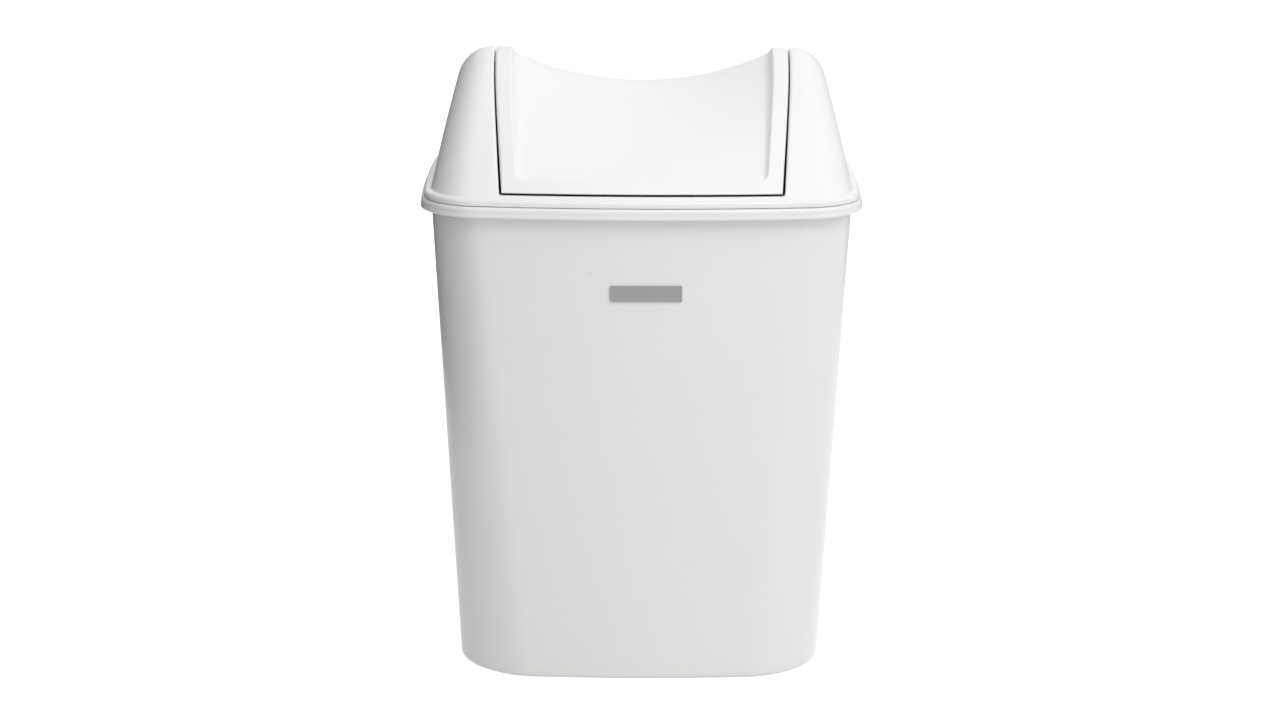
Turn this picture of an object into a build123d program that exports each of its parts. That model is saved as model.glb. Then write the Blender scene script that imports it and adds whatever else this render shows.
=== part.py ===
from build123d import *
import math
import os

# A floor-standing sanitary container with a lift-off hood and a rocking flap.
# Millimetres. The origin is the centre of the base, +Z is up and the front faces -Y.

# Container
BASE_WIDTH = 194.0
BASE_DEPTH = 123.0
BASE_CORNER = 39.0
MOUTH_WIDTH = 219.0
MOUTH_DEPTH = 147.6
MOUTH_CORNER = 27.0
BODY_WALL = 2.2
FLOOR_THICKNESS = 2.6
BASE_EDGE = 3.0
INNER_BASE_EDGE = 4.0

# Turned-over rim of the container, which stands out round the mouth
RIM_BOTTOM = 253.2
RIM_HEIGHT = 5.8
RIM_REACH = 5.7
RIM_CORNER_GROWTH = 2.5
RIM_SKIN = 2.0
RIM_TOP_EDGE = 1.9
RIM_BOTTOM_EDGE = 1.2

# Plan shape: the walls bow outwards on large radii
FRONT_BOW_RADIUS = 735.0
SIDE_BOW_RADIUS = 1200.0

# Hood: a flange drawn in from the rim, and a cowl drawn in from the flange
SEAT_GAP = 0.3
FLANGE_THICKNESS = 3.5
FLANGE_MARGIN = 1.8
FLANGE_CORNER_DROP = 2.5
FLANGE_EDGE = 1.8
COWL_SIDE_LEDGE = 4.5
COWL_FRONT_LEDGE = 3.0
CHEEK_LEAN = 16.5
CHEEK_BULGE = 0.7
COWL_EDGE = 12.5
COWL_CORNER_DROP = 4.0
COWL_FOOT_EASE = 0.3
RIDGE_RADIUS = 18.0
HOOD_WALL = 2.2
LIP_LENGTH = 7.0
LIP_THICKNESS = 1.8
LIP_CLEARANCE = 0.6
LIP_START = 86.0

# Pivot of the flap, above the flange
PIVOT_RISE = 49.2
PIN_DIAMETER = 6.0
PIN_CLEARANCE = 0.05
PIN_HEAD_DIAMETER = 10.0
PIN_HEAD_THICKNESS = 1.6
PIN_HEAD_GAP = 0.3
BOSS_DIAMETER = 12.0
CHEEK_BOSS_LENGTH = 2.5
FLAP_BOSS_LENGTH = 5.0
PIN_END_EDGE = 0.5

# Flap, between two cheeks of this length at the ridge
CHEEK_RIDGE_LENGTH = 16.2
FLAP_TAPER = 4.7
FLAP_GAP = 1.0
FLAP_FOOT_RISE = 2.6
FLAP_WALL = 2.4
GAP_EDGE = 0.6
STRIP_WIDTH = 8.0
RECESS_CORNER = 9.0
RECESS_FLOOR_EDGE = 1.6
RECESS_STEP = 2.0
SADDLE_DIP = 16.8
SADDLE_EDGE_DROP = 0.4
RIDGE_EDGE = 7.0

# Plate on the front, below the rim
PLATE_WIDTH = 36.9
PLATE_HEIGHT = 8.3
PLATE_THICKNESS = 0.8
PLATE_OFFSET = 2.2
PLATE_DROP = 39.3
PLATE_CORNER = 0.8

# One overrun serves every cut
OVERRUN = 2.0

# A recess floor's normal, as a share of one, points down more steeply than its walls' do
FLOOR_NORMAL_SHARE = -0.7

# Plan sizes that follow from the mouth, outwards to the rim and inwards to the flap
RIM_WIDTH = MOUTH_WIDTH + 2 * RIM_REACH
RIM_DEPTH = MOUTH_DEPTH + 2 * RIM_REACH
RIM_CORNER = MOUTH_CORNER + RIM_CORNER_GROWTH
FLANGE_WIDTH = RIM_WIDTH - 2 * FLANGE_MARGIN
FLANGE_DEPTH = RIM_DEPTH - 2 * FLANGE_MARGIN
FLANGE_CORNER = RIM_CORNER - FLANGE_CORNER_DROP
COWL_WIDTH = FLANGE_WIDTH - 2 * COWL_SIDE_LEDGE
COWL_DEPTH = FLANGE_DEPTH - 2 * COWL_FRONT_LEDGE
COWL_FOOT_CORNER = FLANGE_CORNER - COWL_CORNER_DROP
CHEEK_TOP_WIDTH = COWL_WIDTH - 2 * CHEEK_LEAN
FLAP_HALF_RIDGE = CHEEK_TOP_WIDTH / 2 - CHEEK_RIDGE_LENGTH
FLAP_HALF_FOOT = FLAP_HALF_RIDGE - FLAP_TAPER

# Heights that follow from the rim's
RIM_TOP = RIM_BOTTOM + RIM_HEIGHT
FLANGE_BOTTOM = RIM_TOP + SEAT_GAP
FLANGE_TOP = FLANGE_BOTTOM + FLANGE_THICKNESS
PIVOT_HEIGHT = FLANGE_TOP + PIVOT_RISE
HOOD_TOP = PIVOT_HEIGHT + RIDGE_RADIUS
FLAP_FOOT_HEIGHT = FLANGE_TOP + FLAP_FOOT_RISE
PLATE_CENTRE_HEIGHT = RIM_BOTTOM - PLATE_DROP


def bow(half_chord, radius):
    """How far an arc of this radius stands out over its chord."""
    return radius - math.sqrt(radius**2 - half_chord**2)


def front_half_depth(depth, x):
    """Half the depth of a bowed plan at this distance from the middle plane."""
    return depth / 2 - bow(x, FRONT_BOW_RADIUS)


def plan_face(width, depth, corner, height):
    """A plan outline with four bowed sides and rounded corners."""
    side_x = width / 2 - bow(depth / 2, SIDE_BOW_RADIUS)
    front_y = depth / 2 - bow(width / 2, FRONT_BOW_RADIUS)
    corners = [(-side_x, -front_y), (side_x, -front_y), (side_x, front_y), (-side_x, front_y)]
    middles = [(0, -depth / 2), (width / 2, 0), (0, depth / 2), (-width / 2, 0)]
    edges = []
    for index, middle in enumerate(middles):
        start = corners[index]
        end = corners[(index + 1) % len(corners)]
        edges.append(Edge.make_three_point_arc((*start, 0), (*middle, 0), (*end, 0)))
    face = Face(Wire(edges))
    rounded = face.fillet_2d(corner, face.vertices())
    return rounded.moved(Location((0, 0, height)))


def body_plan(height, inset):
    """Plan of the tapered body at a height, drawn in by the inset."""
    share = height / RIM_BOTTOM
    width = BASE_WIDTH + (MOUTH_WIDTH - BASE_WIDTH) * share - 2 * inset
    depth = BASE_DEPTH + (MOUTH_DEPTH - BASE_DEPTH) * share - 2 * inset
    corner = BASE_CORNER + (MOUTH_CORNER - BASE_CORNER) * share - inset
    return plan_face(width, depth, corner, height)


def body_block(bottom, top, inset):
    """The tapered body between two heights."""
    wires = [body_plan(bottom, inset).outer_wire(), body_plan(top, inset).outer_wire()]
    return Solid.make_loft(wires, ruled=True)


def prism(face, bottom, top):
    """A plan outline carried straight up from one height to another."""
    return extrude(face.moved(Location((0, 0, bottom))), amount=top - bottom, dir=(0, 0, 1)).solid()


def rim_plan(inset):
    """Plan of the rim, drawn in by the inset."""
    return plan_face(RIM_WIDTH - 2 * inset, RIM_DEPTH - 2 * inset, RIM_CORNER - inset, 0)


def rim_block():
    """The rim as a full band, before the body and the channel are cut."""
    band = prism(rim_plan(0), RIM_BOTTOM, RIM_TOP)
    top_edges = band.faces().sort_by(Axis.Z)[-1].edges()
    band = band.fillet(RIM_TOP_EDGE, top_edges)
    bottom_edges = band.faces().sort_by(Axis.Z)[0].edges()
    return band.fillet(RIM_BOTTOM_EDGE, bottom_edges)


def container():
    """Tapered container with a turned-over rim, open at the top."""
    body = body_block(0, RIM_TOP - RIM_SKIN / 2, 0)
    body = body.fillet(BASE_EDGE, body.faces().sort_by(Axis.Z)[0].edges())
    rim = rim_block() - prism(rim_plan(RIM_SKIN), RIM_BOTTOM - OVERRUN, RIM_TOP - RIM_SKIN)
    cavity = body_block(FLOOR_THICKNESS, RIM_TOP + OVERRUN, BODY_WALL)
    cavity = cavity.fillet(INNER_BASE_EDGE, cavity.faces().sort_by(Axis.Z)[0].edges())
    return body + rim - cavity


def face_slope(x):
    """Slope of the cowl's face at x, as an angle from the level."""
    half_depth = front_half_depth(COWL_DEPTH, x)
    drop = PIVOT_HEIGHT - FLANGE_TOP
    return math.atan2(drop, half_depth) + math.asin(RIDGE_RADIUS / math.hypot(half_depth, drop))


def cowl_profile(x, inset, bottom):
    """Side profile of the cowl at x: two sloping faces over a rounded ridge."""
    slope = face_slope(x)
    radius = RIDGE_RADIUS - inset
    foot_y = (PIVOT_HEIGHT - bottom + radius / math.cos(slope)) / math.tan(slope)
    tangent_y = radius * math.sin(slope)
    tangent_z = PIVOT_HEIGHT + radius * math.cos(slope)
    front_foot = (x, -foot_y, bottom)
    back_foot = (x, foot_y, bottom)
    front_tangent = (x, -tangent_y, tangent_z)
    back_tangent = (x, tangent_y, tangent_z)
    ridge = (x, 0, PIVOT_HEIGHT + radius)
    return Wire(
        [
            Edge.make_line(front_foot, front_tangent),
            Edge.make_three_point_arc(front_tangent, ridge, back_tangent),
            Edge.make_line(back_tangent, back_foot),
            Edge.make_line(back_foot, front_foot),
        ]
    )


def wedge(inset, bottom):
    """The cowl's roof shape over its whole width, bowed at the foot and straight at the ridge."""
    reach = COWL_WIDTH / 2 + 2 * OVERRUN
    place_shares = (-1, -0.6, 0, 0.6, 1)
    sections = [cowl_profile(share * reach, inset, bottom) for share in place_shares]
    return Solid.make_loft(sections)


def side_trim(inset, bottom):
    """Front view of the cowl: the leaning, slightly bulged sides of the two cheeks."""
    foot = COWL_WIDTH / 2 - inset
    top = CHEEK_TOP_WIDTH / 2 - inset
    middle = (foot + top) / 2 + CHEEK_BULGE
    half_height = (FLANGE_TOP + HOOD_TOP) / 2
    slope = (COWL_WIDTH - CHEEK_TOP_WIDTH) / 2 / (HOOD_TOP - FLANGE_TOP)
    low = foot + slope * (FLANGE_TOP - bottom)
    far = COWL_DEPTH / 2 + OVERRUN
    edges = [
        Edge.make_line((-low, -far, bottom), (low, -far, bottom)),
        Edge.make_three_point_arc((low, -far, bottom), (middle, -far, half_height), (top, -far, HOOD_TOP)),
        Edge.make_line((top, -far, HOOD_TOP), (-top, -far, HOOD_TOP)),
        Edge.make_three_point_arc((-top, -far, HOOD_TOP), (-middle, -far, half_height), (-low, -far, bottom)),
    ]
    return extrude(Face(Wire(edges)), amount=2 * far, dir=(0, 1, 0)).solid()


def cowl(inset, bottom):
    """The whole cowl as a solid, with its front, back and top edges rounded at both ends."""
    block = (wedge(inset, bottom) & side_trim(inset, bottom)).solid()
    for side in (Axis.X, -Axis.X):
        end_face = block.faces().sort_by(side)[-1]
        chain = end_face.edges().filter_by(lambda edge: edge.center().Z > bottom + OVERRUN)
        block = block.fillet(COWL_EDGE - inset, chain)
    width = COWL_WIDTH - 2 * inset + 2 * COWL_FOOT_EASE
    depth = COWL_DEPTH - 2 * inset + 2 * COWL_FOOT_EASE
    foot = plan_face(width, depth, COWL_FOOT_CORNER - inset, 0)
    return block & prism(foot, bottom, HOOD_TOP + OVERRUN)


def flap_half_width(radius):
    """Half the flap's width at this distance from the pivot: the sides are slightly conical."""
    foot_radius = math.hypot(FLAP_HALF_FOOT_DEPTH, PIVOT_HEIGHT - FLAP_FOOT_HEIGHT)
    taper = (FLAP_HALF_RIDGE - FLAP_HALF_FOOT) / (foot_radius - RIDGE_RADIUS)
    return FLAP_HALF_RIDGE - taper * (radius - RIDGE_RADIUS)


def foot_half_depth(x):
    """Half the depth of the cowl's face at the height of the flap's foot."""
    half_depth = front_half_depth(COWL_DEPTH, x)
    return half_depth - (FLAP_FOOT_HEIGHT - FLANGE_TOP) / math.tan(face_slope(x))


# The flap's foot at its two ends, and the slope of its face in the middle
FLAP_HALF_FOOT_DEPTH = foot_half_depth(FLAP_HALF_FOOT)
FACE_SLOPE = face_slope(0)


def swing_drum(grow_side, grow_reach, corner=0):
    """Space round the pivot that the flap sweeps, grown sideways and outwards."""
    drop = PIVOT_HEIGHT - FLAP_FOOT_HEIGHT
    side_reach = math.hypot(FLAP_HALF_FOOT_DEPTH, drop) + grow_reach
    middle_reach = math.hypot(foot_half_depth(0), drop) + grow_reach
    at_axis = flap_half_width(0) + grow_side
    at_reach = flap_half_width(side_reach) + grow_side
    left = (-at_reach, 0, -side_reach)
    right = (at_reach, 0, -side_reach)
    edges = [
        Edge.make_line((-at_axis, 0, 0), left),
        Edge.make_three_point_arc(left, (0, 0, -middle_reach), right),
        Edge.make_line(right, (at_axis, 0, 0)),
        Edge.make_line((at_axis, 0, 0), (-at_axis, 0, 0)),
    ]
    section = Face(Wire(edges))
    if corner:
        section = section.fillet_2d(corner, section.vertices().group_by(Axis.Z)[0])
    drum = Solid.revolve(section, 360, Axis.X)
    return drum.moved(Location((0, 0, PIVOT_HEIGHT)))


def pivot_cylinder(diameter, start, length):
    """A cylinder on the pivot axis, from start towards +X."""
    plane = Plane(origin=(start, 0, PIVOT_HEIGHT), z_dir=(1, 0, 0))
    return Solid.make_cylinder(diameter / 2, length, plane)


def both_sides(shape):
    """A shape of the +X side with its mirror image."""
    return [shape, shape.mirror(Plane.YZ)]


# Places along the pivot axis, measured at the bosses' rims
FLAP_FACE = flap_half_width(BOSS_DIAMETER / 2)
CHEEK_FACE = FLAP_FACE + FLAP_GAP
CHEEK_BOSS_END = CHEEK_FACE + HOOD_WALL + CHEEK_BOSS_LENGTH
FLAP_BOSS_START = FLAP_FACE - FLAP_WALL - FLAP_BOSS_LENGTH


def lip_plan(inset):
    """Outline of the locating lip, which fits the mouth of the container."""
    return body_plan(RIM_TOP, BODY_WALL + LIP_CLEARANCE + inset)


def gap_edges(block):
    """Outer edges along the gap between the cheeks, the sills and the flap."""
    reach = FLAP_HALF_RIDGE + FLAP_GAP + GAP_EDGE
    edges = block.edges().filter_by(GeomType.LINE, reverse=True)
    return edges.filter_by(lambda edge: edge.center().Z > FLANGE_TOP + GAP_EDGE and abs(edge.center().X) < reach)


def hood_outside():
    """Flange and cowl with the gap for the flap, before they are hollowed."""
    plan = plan_face(FLANGE_WIDTH, FLANGE_DEPTH, FLANGE_CORNER, 0)
    flange = prism(plan, FLANGE_BOTTOM, FLANGE_TOP)
    flange = flange.fillet(FLANGE_EDGE, flange.faces().sort_by(Axis.Z)[-1].edges())
    block = (flange + cowl(0, FLANGE_TOP - OVERRUN) - swing_drum(FLAP_GAP, FLAP_GAP)).solid()
    return block.fillet(GAP_EDGE, gap_edges(block))


def locating_lip():
    """Lip under the two ends of the flange. The stretch that the flap sweeps has none."""
    down = Location((0, 0, -RIM_TOP))
    outer = prism(lip_plan(0).moved(down), FLANGE_BOTTOM - LIP_LENGTH, FLANGE_BOTTOM)
    inner = prism(lip_plan(LIP_THICKNESS).moved(down), FLANGE_BOTTOM - LIP_LENGTH, FLANGE_BOTTOM)
    gap = Box(2 * LIP_START, RIM_DEPTH, 2 * (LIP_LENGTH + OVERRUN))
    gap = gap.moved(Location((0, 0, FLANGE_BOTTOM)))
    return outer - inner - gap


def hood_hollow():
    """The space inside the cheeks, open below through the flange."""
    down = Location((0, 0, -RIM_TOP))
    opening = prism(lip_plan(LIP_THICKNESS).moved(down), FLANGE_BOTTOM - OVERRUN, FLANGE_TOP)
    hollow = cowl(HOOD_WALL, FLANGE_TOP) + opening
    hollow = hollow - swing_drum(FLAP_GAP + HOOD_WALL, FLAP_GAP + HOOD_WALL)
    for boss in both_sides(pivot_cylinder(BOSS_DIAMETER, CHEEK_FACE, CHEEK_BOSS_END - CHEEK_FACE)):
        hollow = hollow - boss
    return hollow


def lid_hood():
    """Hood in one moulding: flange, sills, two hollow cheeks with a boss each, locating lip."""
    hood = hood_outside() - hood_hollow()
    for part in locating_lip().solids():
        hood = hood + part
    bore_length = CHEEK_BOSS_END - CHEEK_FACE + 2 * PIN_HEAD_GAP + OVERRUN
    bore = pivot_cylinder(PIN_DIAMETER + 2 * PIN_CLEARANCE, CHEEK_FACE - OVERRUN, bore_length)
    for hole in both_sides(bore):
        hood = hood - hole
    return hood


def slope_height(ridge, foot, run_share, slope, grow):
    """Height on a line from a foot to the crease that gives a rounded ridge of this height."""
    crease = ridge + RIDGE_EDGE * (1 / math.cos(slope) - 1)
    return crease + (foot - crease) * run_share - grow / math.cos(slope)


def saddle_floor(y, grow):
    """Outline in the plane at y of the space above the scooped floor."""
    half = FLAP_HALF_RIDGE
    top_z = HOOD_TOP + RIDGE_RADIUS
    recess_half = FLAP_HALF_RIDGE - STRIP_WIDTH
    ridge_edge = HOOD_TOP - SADDLE_EDGE_DROP
    ridge_middle = ridge_edge - SADDLE_DIP
    saddle_radius = (recess_half**2 + SADDLE_DIP**2) / (2 * SADDLE_DIP)
    ridge_side = ridge_middle + bow(half, saddle_radius)
    foot_y = foot_half_depth(0) - STRIP_WIDTH * math.cos(FACE_SLOPE)
    foot_z = FLAP_FOOT_HEIGHT + STRIP_WIDTH * math.sin(FACE_SLOPE) - RECESS_STEP / math.cos(FACE_SLOPE)
    middle_slope = math.atan2(ridge_middle - foot_z, foot_y)
    side_slope = math.atan2(ridge_side - foot_z, foot_y)
    middle_z = slope_height(ridge_middle, foot_z, abs(y) / foot_y, middle_slope, grow)
    side_z = slope_height(ridge_side, foot_z, abs(y) / foot_y, side_slope, grow)
    edges = [
        Edge.make_three_point_arc((-half, y, side_z), (0, y, middle_z), (half, y, side_z)),
        Edge.make_line((half, y, side_z), (half, y, top_z)),
        Edge.make_line((half, y, top_z), (-half, y, top_z)),
        Edge.make_line((-half, y, top_z), (-half, y, side_z)),
    ]
    return Wire(edges)


def floor_edges(space):
    """Edges where the floor of the recess meets its walls."""
    floors = space.faces().filter_by(lambda face: face.normal_at().Z < FLOOR_NORMAL_SHARE)
    edges = [edge for face in floors for edge in face.edges()]
    return [edge for edge in edges if sum(edge.is_same(other) for other in edges) == 1]


def scoop(grow):
    """The recess in the flap's faces and ridge, grown by a wall on its underside."""
    far = COWL_DEPTH / 2 + OVERRUN
    front = Solid.make_loft([saddle_floor(-far, grow), saddle_floor(0, grow)], ruled=True)
    back = Solid.make_loft([saddle_floor(0, grow), saddle_floor(far, grow)], ruled=True)
    space = (front + back).solid()
    crease = space.edges().filter_by(lambda edge: abs(edge.center().Y) < RIDGE_EDGE).sort_by(Axis.Z)[0]
    space = space.fillet(RIDGE_EDGE - grow, [crease])
    space = (space & swing_drum(grow - STRIP_WIDTH, grow - STRIP_WIDTH, RECESS_CORNER)).solid()
    return space.fillet(RECESS_FLOOR_EDGE, floor_edges(space))


def swing_flap():
    """Saddle-shaped flap in one moulding, open below, with a boss on each side wall."""
    blank = (wedge(0, FLAP_FOOT_HEIGHT) & swing_drum(0, 0)).solid()
    sides = blank.faces().filter_by(GeomType.CONE)
    rims = [edge for face in sides for edge in face.edges().filter_by(GeomType.LINE, reverse=True)]
    feet = blank.edges().group_by(Axis.Y)
    above = [edge for edge in rims if edge.center().Z > FLAP_FOOT_HEIGHT + GAP_EDGE]
    blank = blank.fillet(GAP_EDGE, above + [feet[0][0], feet[-1][0]])
    flap = blank - scoop(0)
    hollow = wedge(FLAP_WALL, FLAP_FOOT_HEIGHT - OVERRUN) & swing_drum(-FLAP_WALL, OVERRUN)
    hollow = hollow - scoop(FLAP_WALL)
    boss_length = FLAP_FACE - FLAP_BOSS_START
    for boss in both_sides(pivot_cylinder(BOSS_DIAMETER, FLAP_BOSS_START, boss_length)):
        hollow = hollow - boss
    flap = flap - hollow
    bore = pivot_cylinder(PIN_DIAMETER, FLAP_BOSS_START - OVERRUN, boss_length + 2 * OVERRUN)
    for hole in both_sides(bore):
        flap = flap - hole
    return flap


def pivot_pin():
    """Headed pin of the +X side: pressed into the flap, free to turn in the cheek."""
    head_start = CHEEK_BOSS_END + PIN_HEAD_GAP
    shank = pivot_cylinder(PIN_DIAMETER, FLAP_BOSS_START, head_start - FLAP_BOSS_START)
    head = pivot_cylinder(PIN_HEAD_DIAMETER, head_start, PIN_HEAD_THICKNESS)
    pin = (shank + head).solid()
    end_edges = pin.edges().group_by(Axis.X)[0]
    pin = pin.fillet(PIN_END_EDGE, end_edges)
    head_edges = pin.edges().group_by(Axis.X)[-1]
    return pin.fillet(PIN_END_EDGE, head_edges)


def label_plate():
    """Bare plate that lies on the bowed front face."""
    half_height = PLATE_HEIGHT / 2
    outline = Rectangle(PLATE_WIDTH, PLATE_HEIGHT)
    outline = fillet(outline.vertices(), PLATE_CORNER)
    place = Plane(origin=(PLATE_OFFSET, 0, PLATE_CENTRE_HEIGHT), z_dir=(0, -1, 0), x_dir=(1, 0, 0))
    column = extrude(place * outline, amount=MOUTH_DEPTH)
    bottom = PLATE_CENTRE_HEIGHT - half_height - OVERRUN
    top = PLATE_CENTRE_HEIGHT + half_height + OVERRUN
    skin = body_block(bottom, top, -PLATE_THICKNESS) - body_block(bottom - OVERRUN, top + OVERRUN, 0)
    return skin & column


def single(shape):
    """The one solid of a result, which must not be several."""
    solids = shape.solids()
    if len(solids) != 1:
        print("solids found:", len(solids), [round(solid.volume, 2) for solid in solids])
    return max(solids, key=lambda solid: solid.volume)


def main():
    os.makedirs("parts", exist_ok=True)
    pin_right = pivot_pin()
    pieces = {
        "container": container(),
        "label_plate": label_plate(),
        "lid_hood": lid_hood(),
        "swing_flap": swing_flap(),
        "pivot_pin_right": pin_right,
        "pivot_pin_left": pin_right.mirror(Plane.YZ),
    }
    for name, shape in pieces.items():
        export_step(single(shape), f"parts/{name}.step")
        print(name, "written")


main()
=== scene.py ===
import logging
import math
from collections.abc import Callable, Sequence
from dataclasses import dataclass, field
from enum import Enum
from functools import partialmethod

import bmesh
import bpy
import numpy as np
from mathutils import Matrix, Vector


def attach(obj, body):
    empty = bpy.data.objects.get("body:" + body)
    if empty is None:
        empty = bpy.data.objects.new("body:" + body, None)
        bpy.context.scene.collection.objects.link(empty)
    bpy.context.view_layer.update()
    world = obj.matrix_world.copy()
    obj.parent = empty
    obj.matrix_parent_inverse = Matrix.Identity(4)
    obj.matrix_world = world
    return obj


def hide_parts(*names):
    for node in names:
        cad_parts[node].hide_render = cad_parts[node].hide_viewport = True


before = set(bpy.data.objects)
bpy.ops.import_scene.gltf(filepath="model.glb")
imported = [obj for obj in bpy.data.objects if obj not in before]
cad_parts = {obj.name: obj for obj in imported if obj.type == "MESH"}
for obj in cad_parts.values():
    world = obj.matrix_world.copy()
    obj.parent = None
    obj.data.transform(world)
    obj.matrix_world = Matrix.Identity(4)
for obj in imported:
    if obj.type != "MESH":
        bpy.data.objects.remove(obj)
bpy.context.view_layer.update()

# A sanitary container of white moulded plastic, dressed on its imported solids.
# The classes hold their sizes in millimetres. Blender's meshes are in metres.

MM = 0.001
LOG = logging.getLogger("sanitary_container")

Array = np.ndarray
Colour = tuple[float, float, float, float]
Piece = bpy.types.Object
Point = tuple[float, float]
Socket = bpy.types.NodeSocket
Tree = bpy.types.NodeTree

# Factors that mirror points to the left and to the back
FLIP_X = np.array([-1, 1, 1])
FLIP_Y = np.array([1, -1, 1])
QUARTER_ROUND = np.radians([0, 22.5, 45, 67.5, 90])
WELD_DISTANCE = 0.002
# Halving a span so often finds a place in it to far below the weld's distance
HALVINGS = 44
# Longer than any ray from a cheek's inside to its skin
RAY_LENGTH = 160.0
FRONT_BOW_RADIUS = 735.0
SIDE_BOW_RADIUS = 1200.0
# The edges along the gaps grow to their full radius over this depth, counted from the foot
EDGE_FADE = 14.0


class Body(Enum):
    """The bodies that the pieces ride on."""

    BIN = "bin"
    HOOD = "hood"
    FLAP = "flap"


class Node(Enum):
    """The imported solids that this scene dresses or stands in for."""

    CONTAINER = "container"
    LABEL = "label_plate"
    HOOD = "lid_hood"
    FLAP = "swing_flap"
    PIN_LEFT = "pivot_pin_left"
    PIN_RIGHT = "pivot_pin_right"


class Side(Enum):
    """The two sides of a piece that is the same to its left and right."""

    LEFT = -1
    RIGHT = 1


def linear(hex_colour: str) -> Colour:
    """Turns an sRGB hex colour to the linear values that shaders take.

    Args:
        hex_colour: Six hex digits, red first.

    Returns:
        Linear red, green and blue, and an alpha of 1.
    """
    shares = [int(hex_colour[i : i + 2], 16) / 255 for i in (0, 2, 4)]
    red, green, blue = (c / 12.92 if c <= 0.04045 else ((c + 0.055) / 1.055) ** 2.4 for c in shares)
    return (red, green, blue, 1.0)


def add_node(
    tree: Tree, kind: str, values: dict[int | str, object] | None = None, **settings: object
) -> bpy.types.Node:
    """Adds a node to a tree, with its settings, constant inputs and links.

    Args:
        tree: The shader or geometry tree.
        kind: The node's type name.
        values: Input index or name to a constant, or to the socket that feeds it.
        **settings: Properties of the node, such as its operation.

    Returns:
        The new node.
    """
    node = tree.nodes.new(kind)
    for name, setting in settings.items():
        setattr(node, name, setting)
    for key, value in (values or {}).items():
        if isinstance(value, Socket):
            tree.links.new(value, node.inputs[key])
        else:
            node.inputs[key].default_value = value
    return node


def span(from_min: float, from_max: float, to_min: float, to_max: float) -> dict[str, float]:
    """Returns the limits of a change of range, by the names that a node gives them."""
    return {"From Min": from_min, "From Max": from_max, "To Min": to_min, "To Max": to_max}


def new_material(name: str) -> tuple[bpy.types.Material, Tree]:
    """Makes a material.

    Args:
        name: Its name.

    Returns:
        The material and its shader tree, which is empty.
    """
    material = bpy.data.materials.new(name)
    material.use_nodes = True
    material.node_tree.nodes.clear()
    return material, material.node_tree


def new_object(name: str, data: bpy.types.ID) -> Piece:
    """Makes an object.

    Args:
        name: Its name.
        data: Its mesh, light or camera.

    Returns:
        The object, linked to the scene.
    """
    piece = bpy.data.objects.new(name, data)
    bpy.context.scene.collection.objects.link(piece)
    return piece


def mesh_object(name: str, points: list, faces: list, edges: list | None = None) -> Piece:
    """Makes an object with a new mesh.

    Args:
        name: The name of both.
        points: The mesh's points, in metres.
        faces: Its faces, as indices of points.
        edges: Its loose edges, as indices of points.

    Returns:
        The object, linked to the scene.
    """
    mesh = bpy.data.meshes.new(name)
    mesh.from_pydata(points, edges or [], faces)
    return new_object(name, mesh)


def log_piece(piece: Piece) -> None:
    """Reports a finished piece."""
    counts = len(piece.data.polygons), len(piece.data.materials)
    LOG.info("%s: %d faces, %d materials", piece.name, *counts)


def stand_in(piece: Piece, body: Body, node: Node) -> None:
    """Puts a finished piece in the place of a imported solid.

    Args:
        piece: The piece.
        body: The body that it rides on.
        node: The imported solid.
    """
    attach(piece, body.value)
    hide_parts(node.value)
    log_piece(piece)


@dataclass(frozen=True)
class Field:
    """A number that varies over a mesh, as a socket that arithmetic can be written with."""

    tree: Tree
    socket: Socket

    def do(self, operation: str, *others: "Field | float") -> "Field":
        """Adds a maths operation on this number and others.

        Args:
            operation: The operation's name.
            *others: The other numbers.

        Returns:
            The result.
        """
        feeds = [o.socket if isinstance(o, Field) else o for o in (self, *others)]
        node = add_node(self.tree, "ShaderNodeMath", dict(enumerate(feeds)), operation=operation)
        return Field(self.tree, node.outputs[0])

    __add__ = partialmethod(do, "ADD")
    __sub__ = partialmethod(do, "SUBTRACT")
    __mul__ = partialmethod(do, "MULTIPLY")
    __truediv__ = partialmethod(do, "DIVIDE")

    def between_0_and_1(self) -> "Field":
        """Returns the number, held between 0 and 1."""
        return self.do("MAXIMUM", 0.0).do("MINIMUM", 1.0)

    def missing_to_1(self) -> "Field":
        """Returns what the number lacks to be 1."""
        return self * -1.0 + 1.0


def xyz(x: Array | float, y: Array | float, z: Array | float) -> Array:
    """Joins coordinates to points, along a last axis."""
    return np.stack(np.broadcast_arrays(x, y, z), axis=-1)


@dataclass(frozen=True)
class Boss:
    """A hollow boss on the pivot axis, sunk into a wall by as much as its end is bevelled."""

    bore_radius: float
    radius: float
    length: float
    bevel: float
    steps: int = 48

    def section(self, face: float, out: int) -> list[Point]:
        """Lays out the closed outline of its section.

        Args:
            face: Place of the wall's face along the axis.
            out: 1 or -1, the direction in which it stands out from the wall.

        Returns:
            Places along the axis and radii.
        """
        root = face - out * self.bevel
        end = root + out * self.bevel + out * self.length
        bore, radius, bevel = self.bore_radius, self.radius, self.bevel
        points = [(root, bore), (root, radius), (end - out * bevel, radius), (end, radius - bevel)]
        return [*points, (end, bore + bevel), (end - out * bevel, bore)]


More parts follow.
